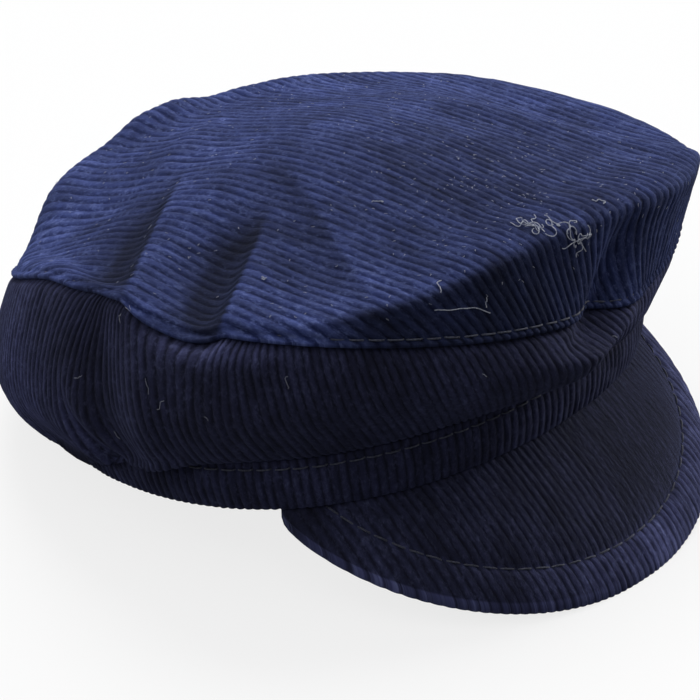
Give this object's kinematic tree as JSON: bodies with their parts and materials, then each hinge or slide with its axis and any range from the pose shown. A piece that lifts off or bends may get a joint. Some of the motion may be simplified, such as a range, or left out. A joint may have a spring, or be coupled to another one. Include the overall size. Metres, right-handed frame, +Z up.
{
  "type": "flat cap",
  "caption": "Soft corduroy cap with a full, folded crown, a bulging side band, a narrow stitched headband and a stiff curved peak, for a small child.",
  "frame": {"origin": "middle of the cap's length and width, on the surface it rests on", "axes": "-Y the way the peak points, +Y the back of the cap, +X the wearer's left, +Z up; the cap is in its resting pose, with the front of the opening raised by the peak"},
  "size_m": [0.1828, 0.2056, 0.0866],
  "materials": {
    "top_corduroy": "navy blue corduroy, ribs front to back, worn and a little dusty",
    "band_corduroy": "navy blue corduroy, ribs up and down",
    "headband_corduroy": "navy blue corduroy strip, ribs up and down, stitched near its upper edge",
    "peak_corduroy": "navy blue corduroy over a stiff core, ribs front to back, stitched border"
  },
  "bodies": {
    "root": {"top_panel": "top_corduroy", "side_band": "band_corduroy", "headband": "headband_corduroy", "peak": "peak_corduroy"}
  },
  "joints": []
}
